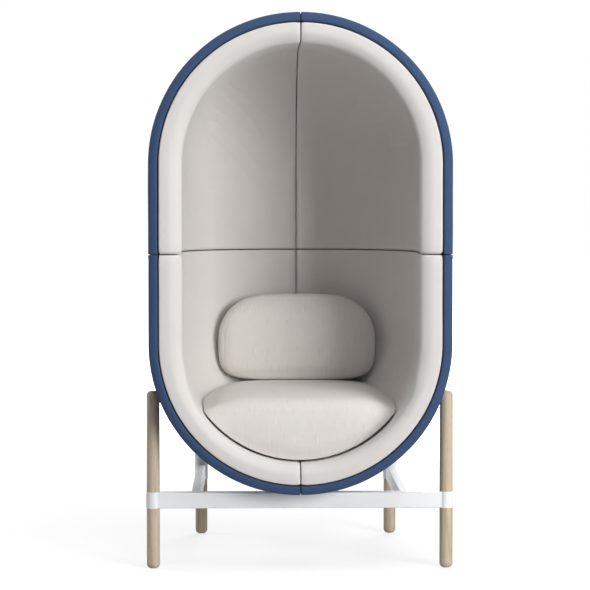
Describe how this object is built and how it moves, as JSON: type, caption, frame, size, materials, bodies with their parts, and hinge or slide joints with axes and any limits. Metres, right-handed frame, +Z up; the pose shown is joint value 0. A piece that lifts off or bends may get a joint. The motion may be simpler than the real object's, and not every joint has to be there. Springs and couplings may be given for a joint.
{
  "type": "pod chair",
  "caption": "Tall upholstered pod lounge chair: a capsule-shaped padded shell in quarters with a seat cushion and loose back cushion, on a steel stand with round wooden legs.",
  "frame": {"origin": "on the floor, at the middle of the footprint", "axes": "+Z up, the open front of the pod faces -Y, +X is to the right as seen from the front"},
  "size_m": [0.843, 0.7286, 1.5113],
  "materials": {
    "blue_cover": "woven wool upholstery fabric, mid blue",
    "core_plywood": "moulded birch plywood, unfinished",
    "linen_pad": "smooth woven upholstery fabric, warm off-white",
    "dowel_wood": "fluted beech dowel, unfinished",
    "zinc_fastener": "zinc plated steel",
    "leg_wood": "pale ash, soaped matt",
    "white_frame": "fine texture white powder coat",
    "white_cap": "moulded white plastic",
    "black_rubber": "dense black rubber",
    "linen_cushion": "slubbed linen-like upholstery fabric, warm off-white"
  },
  "bodies": {
    "chair": {"outer_cover_upper_left": "blue_cover", "outer_cover_upper_right": "blue_cover", "outer_cover_lower_left": "blue_cover", "outer_cover_lower_right": "blue_cover", "shell_core_upper_left": "core_plywood", "shell_core_upper_right": "core_plywood", "shell_core_lower_left": "core_plywood", "shell_core_lower_right": "core_plywood", "inner_pad_upper_left": "linen_pad", "inner_pad_upper_right": "linen_pad", "inner_pad_lower_left": "linen_pad", "inner_pad_lower_right": "linen_pad", "seam_dowels": "dowel_wood", "threaded_inserts": "zinc_fastener", "front_leg_left": "leg_wood", "front_leg_right": "leg_wood", "rear_leg_left": "leg_wood", "rear_leg_right": "leg_wood", "front_sleeve_left": "white_frame", "front_sleeve_right": "white_frame", "front_crossbar": "white_frame", "side_rail_left": "white_frame", "side_rail_right": "white_frame", "rear_post_left": "white_frame", "rear_post_right": "white_frame", "rear_post_cap_left": "white_cap", "rear_post_cap_right": "white_cap", "rear_crossbar": "white_frame", "front_saddle": "black_rubber", "saddle_bolts": "zinc_fastener", "side_spacer_left": "black_rubber", "side_spacer_right": "black_rubber", "side_bolts": "zinc_fastener", "rear_spacer_left": "white_frame", "rear_spacer_right": "white_frame", "rear_bolts": "zinc_fastener", "leg_grub_screws": "zinc_fastener", "seat_cushion": "linen_cushion"},
    "back_cushion": {"back_cushion": "linen_cushion"}
  },
  "joints": [
    {"name": "back_cushion_lift", "type": "slide", "parent": "chair", "child": "back_cushion", "axis": [0, -0.9848, 0.1736], "range_m": [0, 0.6]}
  ]
}
